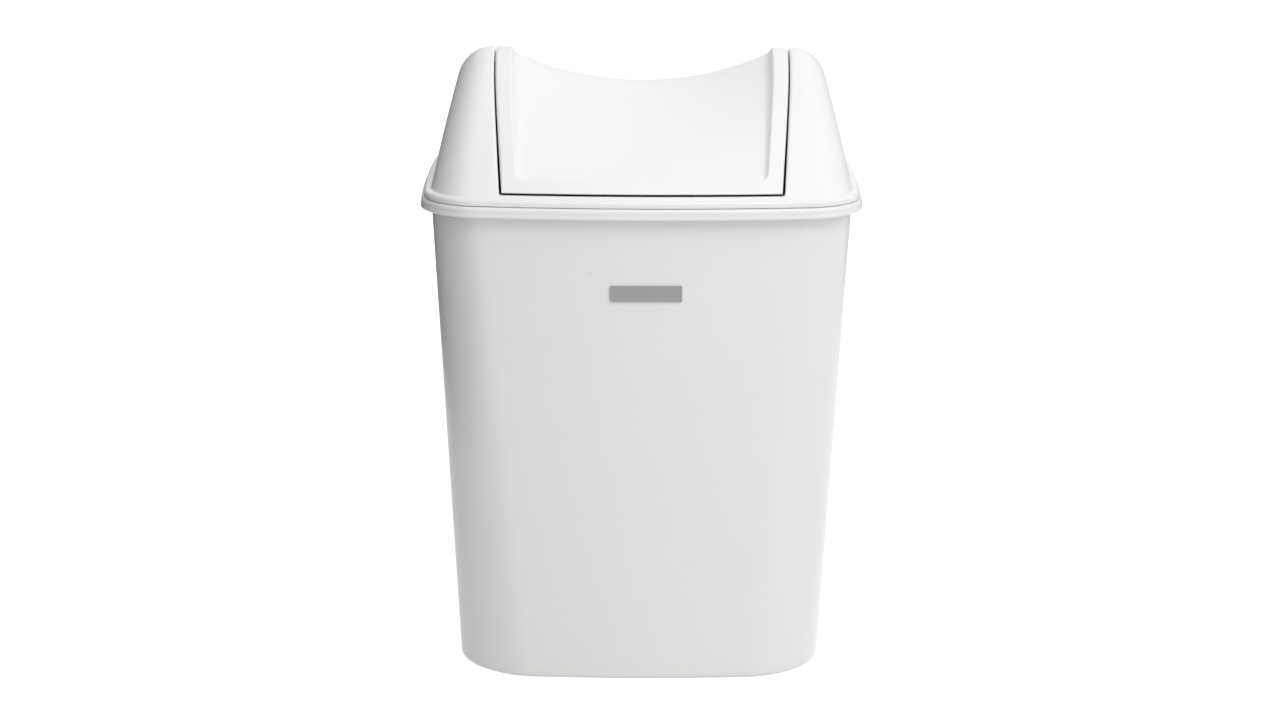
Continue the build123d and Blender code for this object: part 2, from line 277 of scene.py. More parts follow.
@dataclass
class Patchwork:
    """A mesh in the making: patches of points and faces, in millimetres, welded at the end."""

    points: list[Array] = field(default_factory=list)
    faces: list[tuple[int, ...]] = field(default_factory=list)
    count: int = 0

    def layer(self, points: Array) -> Array:
        """Adds an array of points.

        Args:
            points: The points, with x, y and z along the last axis.

        Returns:
            The indices of the points, in the array's shape.
        """
        flat = np.asarray(points, dtype=float).reshape(-1, 3)
        index = np.arange(self.count, self.count + len(flat)).reshape(points.shape[:-1])
        self.points.append(flat)
        self.count += len(flat)
        return index

    def panel(self, index: Array) -> None:
        """Adds the faces between the neighbours of a grid of indices."""
        corners = index[:-1, :-1], index[:-1, 1:], index[1:, 1:], index[1:, :-1]
        self.faces += map(tuple, np.stack(corners, axis=-1).reshape(-1, 4).tolist())

    def panels(self, *grids: Array) -> None:
        """Adds grids of points, with the faces between their neighbours."""
        for grid in grids:
            self.panel(self.layer(grid))

    def hoops(self, rings: Sequence[Array], closed: bool = False) -> None:
        """Adds closed loops of points and the faces from each loop to the next.

        Args:
            rings: The loops.
            closed: Whether the last is joined to the first as well.
        """
        index = self.layer(np.stack(rings))
        if closed:
            index = np.concatenate([index, index[:1]])
        self.panel(np.concatenate([index, index[:, :1]], axis=1))

    def boss(self, boss: Boss, side: Side, face: float, out: int, height: float) -> None:
        """Adds a boss.

        Args:
            boss: Its sizes.
            side: Which end of the pivot axis it is at.
            face: Distance of its wall's face from the middle.
            out: 1 if it stands outwards from the wall, -1 if inwards.
            height: Height of the pivot axis.
        """
        turns = np.linspace(0, 2 * math.pi, boss.steps, endpoint=False)
        rings = [
            xyz(side.value * along, radius * np.cos(turns), height + radius * np.sin(turns))
            for along, radius in boss.section(face, out)
        ]
        self.hoops(rings, closed=True)

    def piece(self, name: str, smooth_angle: float) -> Piece:
        """Welds the patches to closed shells that face outwards and makes them one object.

        Args:
            name: The piece's name.
            smooth_angle: Edges sharper than this many degrees stay sharp.

        Returns:
            The new object, linked to the scene, with its place in its mesh.
        """
        piece = mesh_object(name, (np.concatenate(self.points) * MM).tolist(), self.faces)
        mesh = piece.data
        work = bmesh.new()
        work.from_mesh(mesh)
        bmesh.ops.remove_doubles(work, verts=work.verts, dist=WELD_DISTANCE * MM)
        bmesh.ops.recalc_face_normals(work, faces=work.faces)
        open_edges = sum(not edge.is_manifold for edge in work.edges)
        work.to_mesh(mesh)
        work.free()
        mesh.validate()
        mesh.shade_smooth()
        mesh.set_sharp_from_angle(angle=math.radians(smooth_angle))
        if open_edges:
            LOG.warning("%s: %d edges are open", name, open_edges)
        return piece


def arc(centre: Point, radius: float, start: float, end: float, steps: int) -> list[Point]:
    """Points on an arc from one angle to another, in degrees, both ends included."""
    turns = [math.radians(start + (end - start) * i / steps) for i in range(steps + 1)]
    return [(centre[0] + radius * math.cos(t), centre[1] + radius * math.sin(t)) for t in turns]


# --- Finishes ---


def mottled(
    tree: Tree,
    place: Socket,
    hex_colour: str,
    noise_mm: float,
    noise: dict[str, float],
    tones: dict[str, float],
) -> tuple[Socket, Socket]:
    """Adds a colour whose tone drifts with a noise.

    Args:
        tree: The shader's tree.
        place: The noise's coordinates.
        hex_colour: The plain colour.
        noise_mm: Size of the noise.
        noise: Further inputs of the noise.
        tones: The limits of the noise and of the tone that follows it.

    Returns:
        The noise and the colour.
    """
    inputs = {"Vector": place, "Scale": 1 / (noise_mm * MM), **noise}
    drift = add_node(tree, "ShaderNodeTexNoise", inputs).outputs["Fac"]
    tone = add_node(tree, "ShaderNodeMapRange", {"Value": drift, **tones}).outputs["Result"]
    scaled = {0: linear(hex_colour)[:3], "Scale": tone}
    colour = add_node(tree, "ShaderNodeVectorMath", scaled, operation="SCALE")
    return drift, colour.outputs["Vector"]


@dataclass(frozen=True)
class MouldedPlastic:
    """White polypropylene or ABS, injection moulded in a polished or lightly eroded tool.

    It gives the eye an even white with a soft sheen, broken only by the faint waviness of a thin
    moulded wall, a very fine grain, and a few dark specks in the melt.
    """

    name: str
    hex_colour: str
    roughness: float
    wave_mm: float = 42.0
    wave_depth_mm: float = 0.03
    grain_mm: float = 0.9
    grain_depth_mm: float = 0.004
    gloss_change: float = 0.1
    tone: float = 0.012
    specks: float = 0.0
    speck_mm: float = 17.0
    speck_colour: str = "8f8d88"
    # Radii at which a speck begins and ends to fade, as shares of a cell
    speck_edge: Point = (0.012, 0.024)
    speckless_cells: float = 0.62
    ior: float = 1.49

    def speckled(self, tree: Tree, place: Socket, colour: Socket) -> Socket:
        """Adds burnt specks in the melt: 0.3 to 0.5 mm dots, one in some cells of a pattern.

        Args:
            tree: The shader's tree.
            place: The pattern's coordinates.
            colour: The colour round the specks.

        Returns:
            The colour with the specks.
        """
        inputs = {"Vector": place, "Scale": 1 / (self.speck_mm * MM), "Randomness": 1.0}
        cells = add_node(tree, "ShaderNodeTexVoronoi", inputs).outputs
        edge = {"Value": cells["Distance"], **span(*self.speck_edge, 1.0, 0.0)}
        dots = Field(tree, add_node(tree, "ShaderNodeMapRange", edge).outputs["Result"])
        chosen = Field(tree, cells["Color"]).do("GREATER_THAN", self.speckless_cells)
        mix = {0: (dots * chosen * self.specks).socket, 6: colour, 7: linear(self.speck_colour)}
        return add_node(tree, "ShaderNodeMix", mix, data_type="RGBA").outputs[2]

    def material(self) -> bpy.types.Material:
        """Builds the shader.

        Returns:
            The material, on Object coordinates.
        """
        material, tree = new_material(self.name)
        place = add_node(tree, "ShaderNodeTexCoord").outputs["Object"]
        # Sink and flow of the melt: a slow change of tone over some 40 mm
        flow = {"Detail": 2.0, "Roughness": 0.45}
        tones = span(0.25, 0.75, 1 - self.tone, 1.0)
        slow, colour = mottled(tree, place, self.hex_colour, self.wave_mm, flow, tones)
        if self.specks:
            colour = self.speckled(tree, place, colour)
        fine = {"Vector": place, "Scale": 1 / (self.grain_mm * MM), "Detail": 3.0, "Roughness": 0.6}
        grain = add_node(tree, "ShaderNodeTexNoise", fine).outputs["Fac"]
        skin = None
        for height, depth_mm in ((slow, self.wave_depth_mm), (grain, self.grain_depth_mm)):
            bump = {"Height": height, "Strength": 1.0, "Distance": depth_mm * MM}
            bump |= {"Normal": skin} if skin else {}
            skin = add_node(tree, "ShaderNodeBump", bump).outputs["Normal"]
        low, high = (self.roughness * (1 + sign * self.gloss_change) for sign in (-1, 1))
        sheen = {"Value": grain, **span(0.3, 0.7, low, high)}
        gloss = add_node(tree, "ShaderNodeMapRange", sheen).outputs["Result"]
        inputs = {"Base Color": colour, "Roughness": gloss, "IOR": self.ior, "Normal": skin}
        shader = add_node(tree, "ShaderNodeBsdfPrincipled", inputs)
        add_node(tree, "ShaderNodeOutputMaterial", {"Surface": shader.outputs["BSDF"]})
        return material


@dataclass(frozen=True)
class PrintedLabel:
    """Grey screen-printed polyester film. It gives the eye a dull grey with a fine even tooth."""

    name: str = "screen_printed_polyester_grey"
    hex_colour: str = "a1a1a2"
    roughness: float = 0.55
    tooth_mm: float = 0.5
    tooth_depth_mm: float = 0.006
    ior: float = 1.57

    def material(self) -> bpy.types.Material:
        """Builds the shader.

        Returns:
            The material, on Object coordinates.
        """
        material, tree = new_material(self.name)
        place = add_node(tree, "ShaderNodeTexCoord").outputs["Object"]
        tones = span(0.3, 0.7, 0.96, 1.03)
        noise = {"Detail": 2.0}
        tooth, colour = mottled(tree, place, self.hex_colour, self.tooth_mm, noise, tones)
        bump = {"Height": tooth, "Strength": 1.0, "Distance": self.tooth_depth_mm * MM}
        skin = add_node(tree, "ShaderNodeBump", bump).outputs["Normal"]
        inputs = {"Base Color": colour, "Roughness": self.roughness, "IOR": self.ior}
        shader = add_node(tree, "ShaderNodeBsdfPrincipled", {**inputs, "Normal": skin})
        add_node(tree, "ShaderNodeOutputMaterial", {"Surface": shader.outputs["BSDF"]})
        return material


# --- Container ---


@dataclass
class Container:
    """The tapered container with its turned-over rim, swept round its plan by Geometry Nodes."""

    base_width: float = 194.0
    base_depth: float = 123.0
    base_corner: float = 39.0
    mouth_width: float = 219.0
    mouth_depth: float = 147.5
    mouth_corner: float = 27.0
    mouth_height: float = 253.2
    front_bow_radius: float = FRONT_BOW_RADIUS
    side_bow_radius: float = SIDE_BOW_RADIUS
    wall: float = 2.2
    floor: float = 2.6
    base_edge: float = 3.0
    inner_base_edge: float = 4.0
    mouth_edge: float = 0.6
    rim_height: float = 5.8
    rim_reach: float = 5.7
    rim_corner_growth: float = 2.5
    rim_skin: float = 2.0
    rim_top_edge: float = 1.9
    rim_top_reach: float = 0.08
    rim_bottom_edge: float = 1.2
    rim_channel_edge: float = 0.7
    # How far the wall runs up behind the rim, and the channel's last row below its ceiling
    channel_lap: float = 1.0
    lip_rise: float = 0.4
    rim_waist: float = 0.3
    # The waist's rows: how far each stands out from it, and its height above the rim's foot
    waist_rows: tuple[Point, ...] = ((0.06, 2.15), (0.0, 2.6), (0.0, 3.1))
    # Rows of the floor, as shares of the way in to its middle
    floor_shares: tuple[float, ...] = (0.08, 0.25, 0.5, 0.75, 1.0)
    outer_rows: int = 26
    inner_rows: int = 22
    columns: int = 240
    side_share: float = 0.5
    # Its white is a shade darker than the hood's and flap's: in part a painted shade for the lesser
    # light on its upright walls.
    finish: MouldedPlastic = MouldedPlastic(
        "polypropylene_white_gloss_painted_shade", "efefee", 0.3, specks=0.75, wave_depth_mm=0.05
    )

    def upright(self, points: list[Point]) -> list[tuple[float, float, float]]:
        """Gives points of the upright rim their place beside the wall, which tapers on."""
        lean = (self.mouth_width - self.base_width) / 2
        return [(x - lean * (z / self.mouth_height - 1), 0.0, z) for x, z in points]

    def profile(self) -> list[tuple[float, float, float]]:
        """Lays out the section, from the middle of the underside round to that of the floor.

        Returns:
            Points as distance out from the tapered wall, share of the way in to the middle, and
            height.
        """
        foot = self.mouth_height
        top = foot + self.rim_height
        edge, inner_edge, lip = self.base_edge, self.inner_base_edge, self.rim_bottom_edge
        rows = [(-edge, share, 0.0) for share in self.floor_shares[::-1]]
        rows += [(x, 0.0, z) for x, z in arc((-edge, edge), edge, -90, 0, 8)]
        wall = np.linspace(edge, foot + self.channel_lap, self.outer_rows)
        rows += [(0.0, 0.0, z) for z in wall[1:]]
        # Up inside the rim's channel, round its outer skin and over its top
        ceiling, inside = top - self.rim_skin, self.rim_reach - self.rim_skin
        bend, crown, mouth = self.rim_channel_edge, self.rim_top_edge, self.mouth_edge
        rows += self.upright(
            [(0.0, ceiling - self.channel_lap)]
            + arc((bend, ceiling - bend), bend, 180, 90, 4)
            + arc((inside - bend, ceiling - bend), bend, 90, 0, 4)
        )
        rows += [(inside, 0.0, foot + self.lip_rise)]
        waist = self.rim_reach - self.rim_waist
        rows += self.upright(
            arc((self.rim_reach - lip, foot + lip), lip, -110, 25, 10)
            + [(waist + out, foot + rise) for out, rise in self.waist_rows]
            + arc((waist + self.rim_top_reach - crown, top - crown), crown, 0, 90, 10)
        )
        # Down the inner wall to the floor
        rows += [(x, 0.0, z) for x, z in arc((mouth - self.wall, top - mouth), mouth, 90, 180, 5)]
        heights = np.linspace(top - mouth, self.floor + inner_edge, self.inner_rows)
        rows += [(-self.wall, 0.0, z) for z in heights[1:]]
        centre = (-self.wall - inner_edge, self.floor + inner_edge)
        rows += [(x, 0.0, z) for x, z in arc(centre, inner_edge, 0, -90, 8)[1:]]
        return rows + [(centre[0], share, self.floor) for share in self.floor_shares]

    def tree_sizes(self) -> dict[str, float]:
        """Collects what the tree is given.

        Returns:
            Its named sizes, lengths in metres.
        """
        whats = ("width", "depth", "corner")
        lengths = [f"{end}_{what}" for end in ("base", "mouth") for what in whats]
        lengths += ["mouth_height", "front_bow_radius", "side_bow_radius"]
        sizes = {name.replace("_", " ").title(): getattr(self, name) * MM for name in lengths}
        growth = self.rim_corner_growth / self.rim_reach
        return {**sizes, "Side Share": self.side_share, "Rim Corner Share": growth}

    def tree(self) -> bpy.types.GeometryNodeTree:
        """Builds the tree that sweeps a section round the container's tapered plan.

        Returns:
            The tree, with a named input for each size.
        """
        tree = bpy.data.node_groups.new("tapered_container_sweep", "GeometryNodeTree")
        kinds = {"Section": "Geometry", **dict.fromkeys(self.tree_sizes(), "Float")}
        kinds |= {"Columns": "Int", "Material": "Material"}
        for name, kind in kinds.items():
            tree.interface.new_socket(name, in_out="INPUT", socket_type=f"NodeSocket{kind}")
        tree.interface.new_socket("Moulding", in_out="OUTPUT", socket_type="NodeSocketGeometry")
        given = add_node(tree, "NodeGroupInput").outputs
        size = {name: Field(tree, given[name]) for name in self.tree_sizes()}

        def labelled(curve: Socket, kind: str, name: str, source: str) -> Sequence[Socket]:
            """Gives a curve's points a value that the swept mesh keeps.

            Args:
                curve: The curve.
                kind: The value's type.
                name: The value's name.
                source: The kind of node that holds it.

            Returns:
                The curve and the value.
            """
            node = add_node(tree, "GeometryNodeCaptureAttribute", {"Geometry": curve})
            node.capture_items.new(kind, name)
            tree.links.new(add_node(tree, source).outputs[0], node.inputs[1])
            return node.outputs

        line = add_node(tree, "GeometryNodeMeshToCurve", {"Mesh": given["Section"]})
        place = "GeometryNodeInputPosition"
        section = labelled(line.outputs["Curve"], "VECTOR", "Section Place", place)
        circle = {"Resolution": given["Columns"], "Radius": 1.0}
        turn = add_node(tree, "GeometryNodeCurvePrimitiveCircle", circle).outputs["Curve"]
        ring = labelled(turn, "FLOAT", "Step", "GeometryNodeInputIndex")
        curves = {"Curve": ring[0], "Profile Curve": section[0]}
        swept = add_node(tree, "GeometryNodeCurveToMesh", curves).outputs["Mesh"]

        # Which quarter of the plan a column is in, how far along its side and round its corner
        quarters = Field(tree, ring[1]) / Field(tree, given["Columns"]) * 4.0
        quarter = quarters.do("FLOOR")
        share, side_share = quarters - quarter, size["Side Share"]
        across = (share / side_share).between_0_and_1() * 2.0 - 1.0
        around = ((share - side_share) / side_share.missing_to_1()).between_0_and_1()
        facing = quarter * (math.pi / 2)
        leaning = facing + around * (math.pi / 2)
        side_x = facing.do("COSINE") - across * facing.do("SINE")
        side_y = facing.do("SINE") + across * facing.do("COSINE")

        parts = add_node(tree, "ShaderNodeSeparateXYZ", {0: section[1]})
        out, gather, height = (Field(tree, parts.outputs[i]) for i in range(3))
        rise = height / size["Mouth Height"]

        def tapered(name: str) -> Field:
            """A size at this height, between that at the base and that at the mouth."""
            return size[f"Base {name}"] + (size[f"Mouth {name}"] - size[f"Base {name}"]) * rise

        half_width, half_depth = (tapered(name) * 0.5 + out for name in ("Width", "Depth"))
        grown = out.do("MAXIMUM", 0.0) * size["Rim Corner Share"]
        corner = tapered("Corner") + out.do("MINIMUM", 0.0) + grown
        x = side_x * (half_width - corner) + leaning.do("COSINE") * corner
        y = side_y * (half_depth - corner) + leaning.do("SINE") * corner

        def bowed(place: Field, half: Field, radius: Field, along: Field) -> Field:
            """A coordinate, drawn in by the bow of its side and gathered to the middle."""
            bow = radius - (radius * radius - along * along).do("SQRT")
            return (place - place / half * bow) * gather.missing_to_1()

        bowed_x = bowed(x, half_width, size["Side Bow Radius"], y)
        bowed_y = bowed(y, half_depth, size["Front Bow Radius"], x)
        spot = {0: bowed_x.socket, 1: bowed_y.socket, 2: height.socket}
        place = add_node(tree, "ShaderNodeCombineXYZ", spot).outputs[0]
        mesh = swept
        for kind, inputs in (
            ("SetPosition", {"Position": place}),
            ("MergeByDistance", {"Distance": 1e-6}),
            ("RealizeInstances", {}),
            ("SetMaterial", {"Material": given["Material"]}),
        ):
            mesh = add_node(tree, f"GeometryNode{kind}", {"Geometry": mesh, **inputs}).outputs[0]
        add_node(tree, "NodeGroupOutput", {0: mesh})
        return tree

    def build(self) -> Piece:
        """Sweeps the container and lets it stand for its solid.

        Returns:
            The finished piece.
        """
        section = np.array(self.profile()) * np.array([MM, 1.0, MM])
        edges = [(i, i + 1) for i in range(len(section) - 1)]
        holder = mesh_object("container_section", section.tolist(), [], edges)
        sweep = holder.modifiers.new("sweep", "NODES")
        sweep.node_group = self.tree()
        values = {**self.tree_sizes(), "Columns": self.columns, "Material": self.finish.material()}
        for item in sweep.node_group.interface.items_tree:
            if item.in_out == "INPUT" and item.name in values:
                sweep[item.identifier] = values[item.name]
        graph = bpy.context.evaluated_depsgraph_get()
        moulding = bpy.data.meshes.new_from_object(holder.evaluated_get(graph))
        moulding.name = "container_moulding"
        bpy.data.objects.remove(holder)
        moulding.shade_smooth()
        moulding.set_sharp_from_angle(angle=math.radians(40))
        piece = new_object("container_moulding", moulding)
        stand_in(piece, Body.BIN, Node.CONTAINER)
        return piece


# --- Label plate and pins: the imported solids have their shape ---


def dress_node(node: Node, material: bpy.types.Material) -> None:
    """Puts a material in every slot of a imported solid's object.

    Args:
        node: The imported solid.
        material: Its finish.
    """
    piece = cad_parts[node.value]
    for slot in piece.material_slots:
        slot.material = material
    log_piece(piece)


@dataclass
class LabelPlate:
    """The small bare plate on the front."""

    finish: PrintedLabel = PrintedLabel()

    def dress(self) -> None:
        """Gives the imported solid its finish."""
        dress_node(Node.LABEL, self.finish.material())


@dataclass
class PivotPins:
    """The two headed pins of the flap."""

    finish: MouldedPlastic = MouldedPlastic(
        "nylon_moulded_natural", "dedccf", 0.42, wave_mm=6.0, wave_depth_mm=0.01
    )

    def dress(self) -> None:
        """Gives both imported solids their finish."""
        material = self.finish.material()
        for node in (Node.PIN_LEFT, Node.PIN_RIGHT):
            dress_node(node, material)


# --- Hood and flap: both lie in one roof over the pivot axis ---


def bow(radius: float, along: Array) -> Array:
    """How far a bowed line draws back at each distance from its middle."""
    return radius - np.sqrt(radius**2 - np.square(along))


@dataclass(frozen=True)
class Roof:
    """The roof that hood and flap share: two slopes over a rounded ridge, bowed at the foot."""

    pivot_height: float = 312.0
    ridge_radius: float = 18.0
    cowl_depth: float = 149.4
    flange_top: float = 262.8

    @property
    def top(self) -> float:
        """Height of the ridge."""
        return self.pivot_height + self.ridge_radius

    def slope(self, x: Array) -> Array:
        """Works out the slope of the roof's face.

        Args:
            x: Places along the ridge.

        Returns:
            The slope at each, in radians.
        """
        half = self.cowl_depth / 2 - bow(FRONT_BOW_RADIUS, x)
        drop = self.pivot_height - self.flange_top
        return np.arctan2(drop, half) + np.arcsin(self.ridge_radius / np.hypot(half, drop))

    def height(self, x: Array, y: Array) -> Array:
        """Works out the roof's height.

        Args:
            x: The x of each place.
            y: The y of each place.

        Returns:
            The height above the pivot axis.
        """
        slope, far = self.slope(x), np.abs(y)
        tangent = self.ridge_radius * np.sin(slope)
        arc_square = self.ridge_radius**2 - np.minimum(far, tangent) ** 2
        line_height = self.ridge_radius * np.cos(slope) - (far - tangent) * np.tan(slope)
        return np.where(far < tangent, np.sqrt(np.maximum(arc_square, 0)), line_height)

    def depth_at(self, x: Array, z: Array) -> Array:
        """Half the roof's depth at a height above the floor, on its slopes."""
        slope = self.slope(x)
        return (self.ridge_radius - (z - self.pivot_height) * np.cos(slope)) / np.sin(slope)

    def distance(self, x: Array, y: Array, z: Array) -> Array:
        """Measures how far places lie outside the roof.

        Args:
            x: The x of each place.
            y: The y of each place.
            z: Its height above the floor.

        Returns:
            The distances, below 0 inside.
        """
        rise, far, slope = z - self.pivot_height, np.abs(y), self.slope(x)
        round_part = np.hypot(far, rise) - self.ridge_radius
        flat_part = far * np.sin(slope) + rise * np.cos(slope) - self.ridge_radius
        return np.where(np.arctan2(far, rise) < slope, round_part, flat_part)

    def inward(self, points: Array) -> Array:
        """Finds the directions into the material.

        Args:
            points: Points on the roof.

        Returns:
            A direction for each, of length 1.
        """
        far, rise = np.abs(points[:, 1]), points[:, 2] - self.pivot_height
        angle = np.minimum(self.slope(points[:, 0]), np.arctan2(far, rise))
        lean = np.sign(points[:, 1]) * np.sin(angle)
        return -xyz(0.0, lean, np.cos(angle))

    def rounded_edge(self, skin: Array, wall: Array, inward_at: Array) -> list[Array]:
        """Lays out a quarter round from a skin's border to the wall below it.

        Args:
            skin: Loop of points where the skin stops short.
            wall: The same loop, brought to the wall.
            inward_at: The loop at which the direction into the material is taken.

        Returns:
            Loops of points, the skin's border first.
        """
        across = wall - skin
        depth = np.linalg.norm(across, axis=1)[:, None] * self.inward(inward_at)
        return [skin + across * math.sin(t) + depth * (1 - math.cos(t)) for t in QUARTER_ROUND]


@dataclass(frozen=True)
class Swing:
    """What turns with the flap or clears it: two slightly conical sides and two feet."""

    roof: Roof
    half_ridge: float
    half_foot: float
    foot_height: float
    clearance: float = 0.0

    def foot_depth(self, x: Array) -> Array:
        """Half the roof's depth at the foot, at each x."""
        return self.roof.depth_at(x, self.foot_height)

    def reach(self, x: Array) -> Array:
        """Distance of the foot from the pivot axis, at each x."""
        drop = self.roof.pivot_height - self.foot_height
        return np.hypot(self.foot_depth(x), drop) + self.clearance

    def half_width(self, radius: Array) -> Array:
        """Works out half the width, which shrinks away from the pivot axis.

        Args:
            radius: Distances from the axis.

        Returns:
            Half the width at each.
        """
        reach = float(self.reach(self.half_foot))
        taper = (self.half_ridge - self.half_foot) / (reach - self.roof.ridge_radius)
        return self.half_ridge - taper * (radius - self.roof.ridge_radius)

    def side_at(self, y: Array, z: Array) -> Array:
        """Half the width at places given by their y and height."""
        return self.half_width(np.hypot(y, z - self.roof.pivot_height))


def smooth_step(share: Array) -> Array:
    """Rises softly from 0 to 1 as the share does."""
    held = np.clip(share, 0, 1)
    return held * held * (3 - 2 * held)


def last_inside(near: Array, far: Array, inside: Callable[[Array], Array]) -> Array:
    """Finds where spans leave the inside of something, by halving them.

    Args:
        near: The inner end of each span.
        far: The outer end of each span.
        inside: Tells which values are inside.

    Returns:
        The value for each span.
    """
    for _ in range(HALVINGS):
        middle = (near + far) / 2
        within = inside(middle)
        near, far = np.where(within, middle, near), np.where(within, far, middle)
    return near


def bowed_plan(width: float, depth: float, corner: float, inset: float = 0.0) -> Array:
    """Outline of a bowed rectangle with rounded corners.

    Args:
        width: Its greatest width.
        depth: Its greatest depth.
        corner: Its corner radius.
        inset: How far it is drawn in all round.

    Returns:
        Points in plan, anticlockwise from the middle of the right side.
    """
    width, depth, corner = width - 2 * inset, depth - 2 * inset, corner - inset
    steps_a_quarter = 160
    quarters = np.linspace(0, 1, 4 * steps_a_quarter, endpoint=False) * 4
    quarter = np.floor(quarters)
    across = np.clip((quarters - quarter) / 0.5, 0, 1) * 2 - 1
    around = np.clip((quarters - quarter - 0.5) / 0.5, 0, 1) * math.pi / 2
    facing = quarter * math.pi / 2
    lean = facing + around
    x = (np.cos(facing) - across * np.sin(facing)) * (width / 2 - corner) + np.cos(lean) * corner
    y = (np.sin(facing) + across * np.cos(facing)) * (depth / 2 - corner) + np.sin(lean) * corner
    bowed_x = x - x / (width / 2) * bow(SIDE_BOW_RADIUS, y)
    return np.stack([bowed_x, y - y / (depth / 2) * bow(FRONT_BOW_RADIUS, x)], axis=-1)


def same_bearing(outline: Array, points: Array) -> Array:
    """Places on an outline that lie in the same directions from the middle as some points.

    Args:
        outline: A closed outline in plan.
        points: Points in plan.

    Returns:
        One place on the outline for each point.
    """
    angles = np.arctan2(outline[:, 1], outline[:, 0])
    order = np.argsort(angles)
    known, radii = angles[order], np.hypot(*outline[order].T)
    reach = np.interp(np.arctan2(points[:, 1], points[:, 0]), known, radii, period=2 * math.pi)
    return points / np.hypot(points[:, 0], points[:, 1])[:, None] * reach[:, None]


def raised(plan: Array, height: float) -> Array:
    """Sets plan points at a height."""
    return xyz(plan[:, 0], plan[:, 1], height)


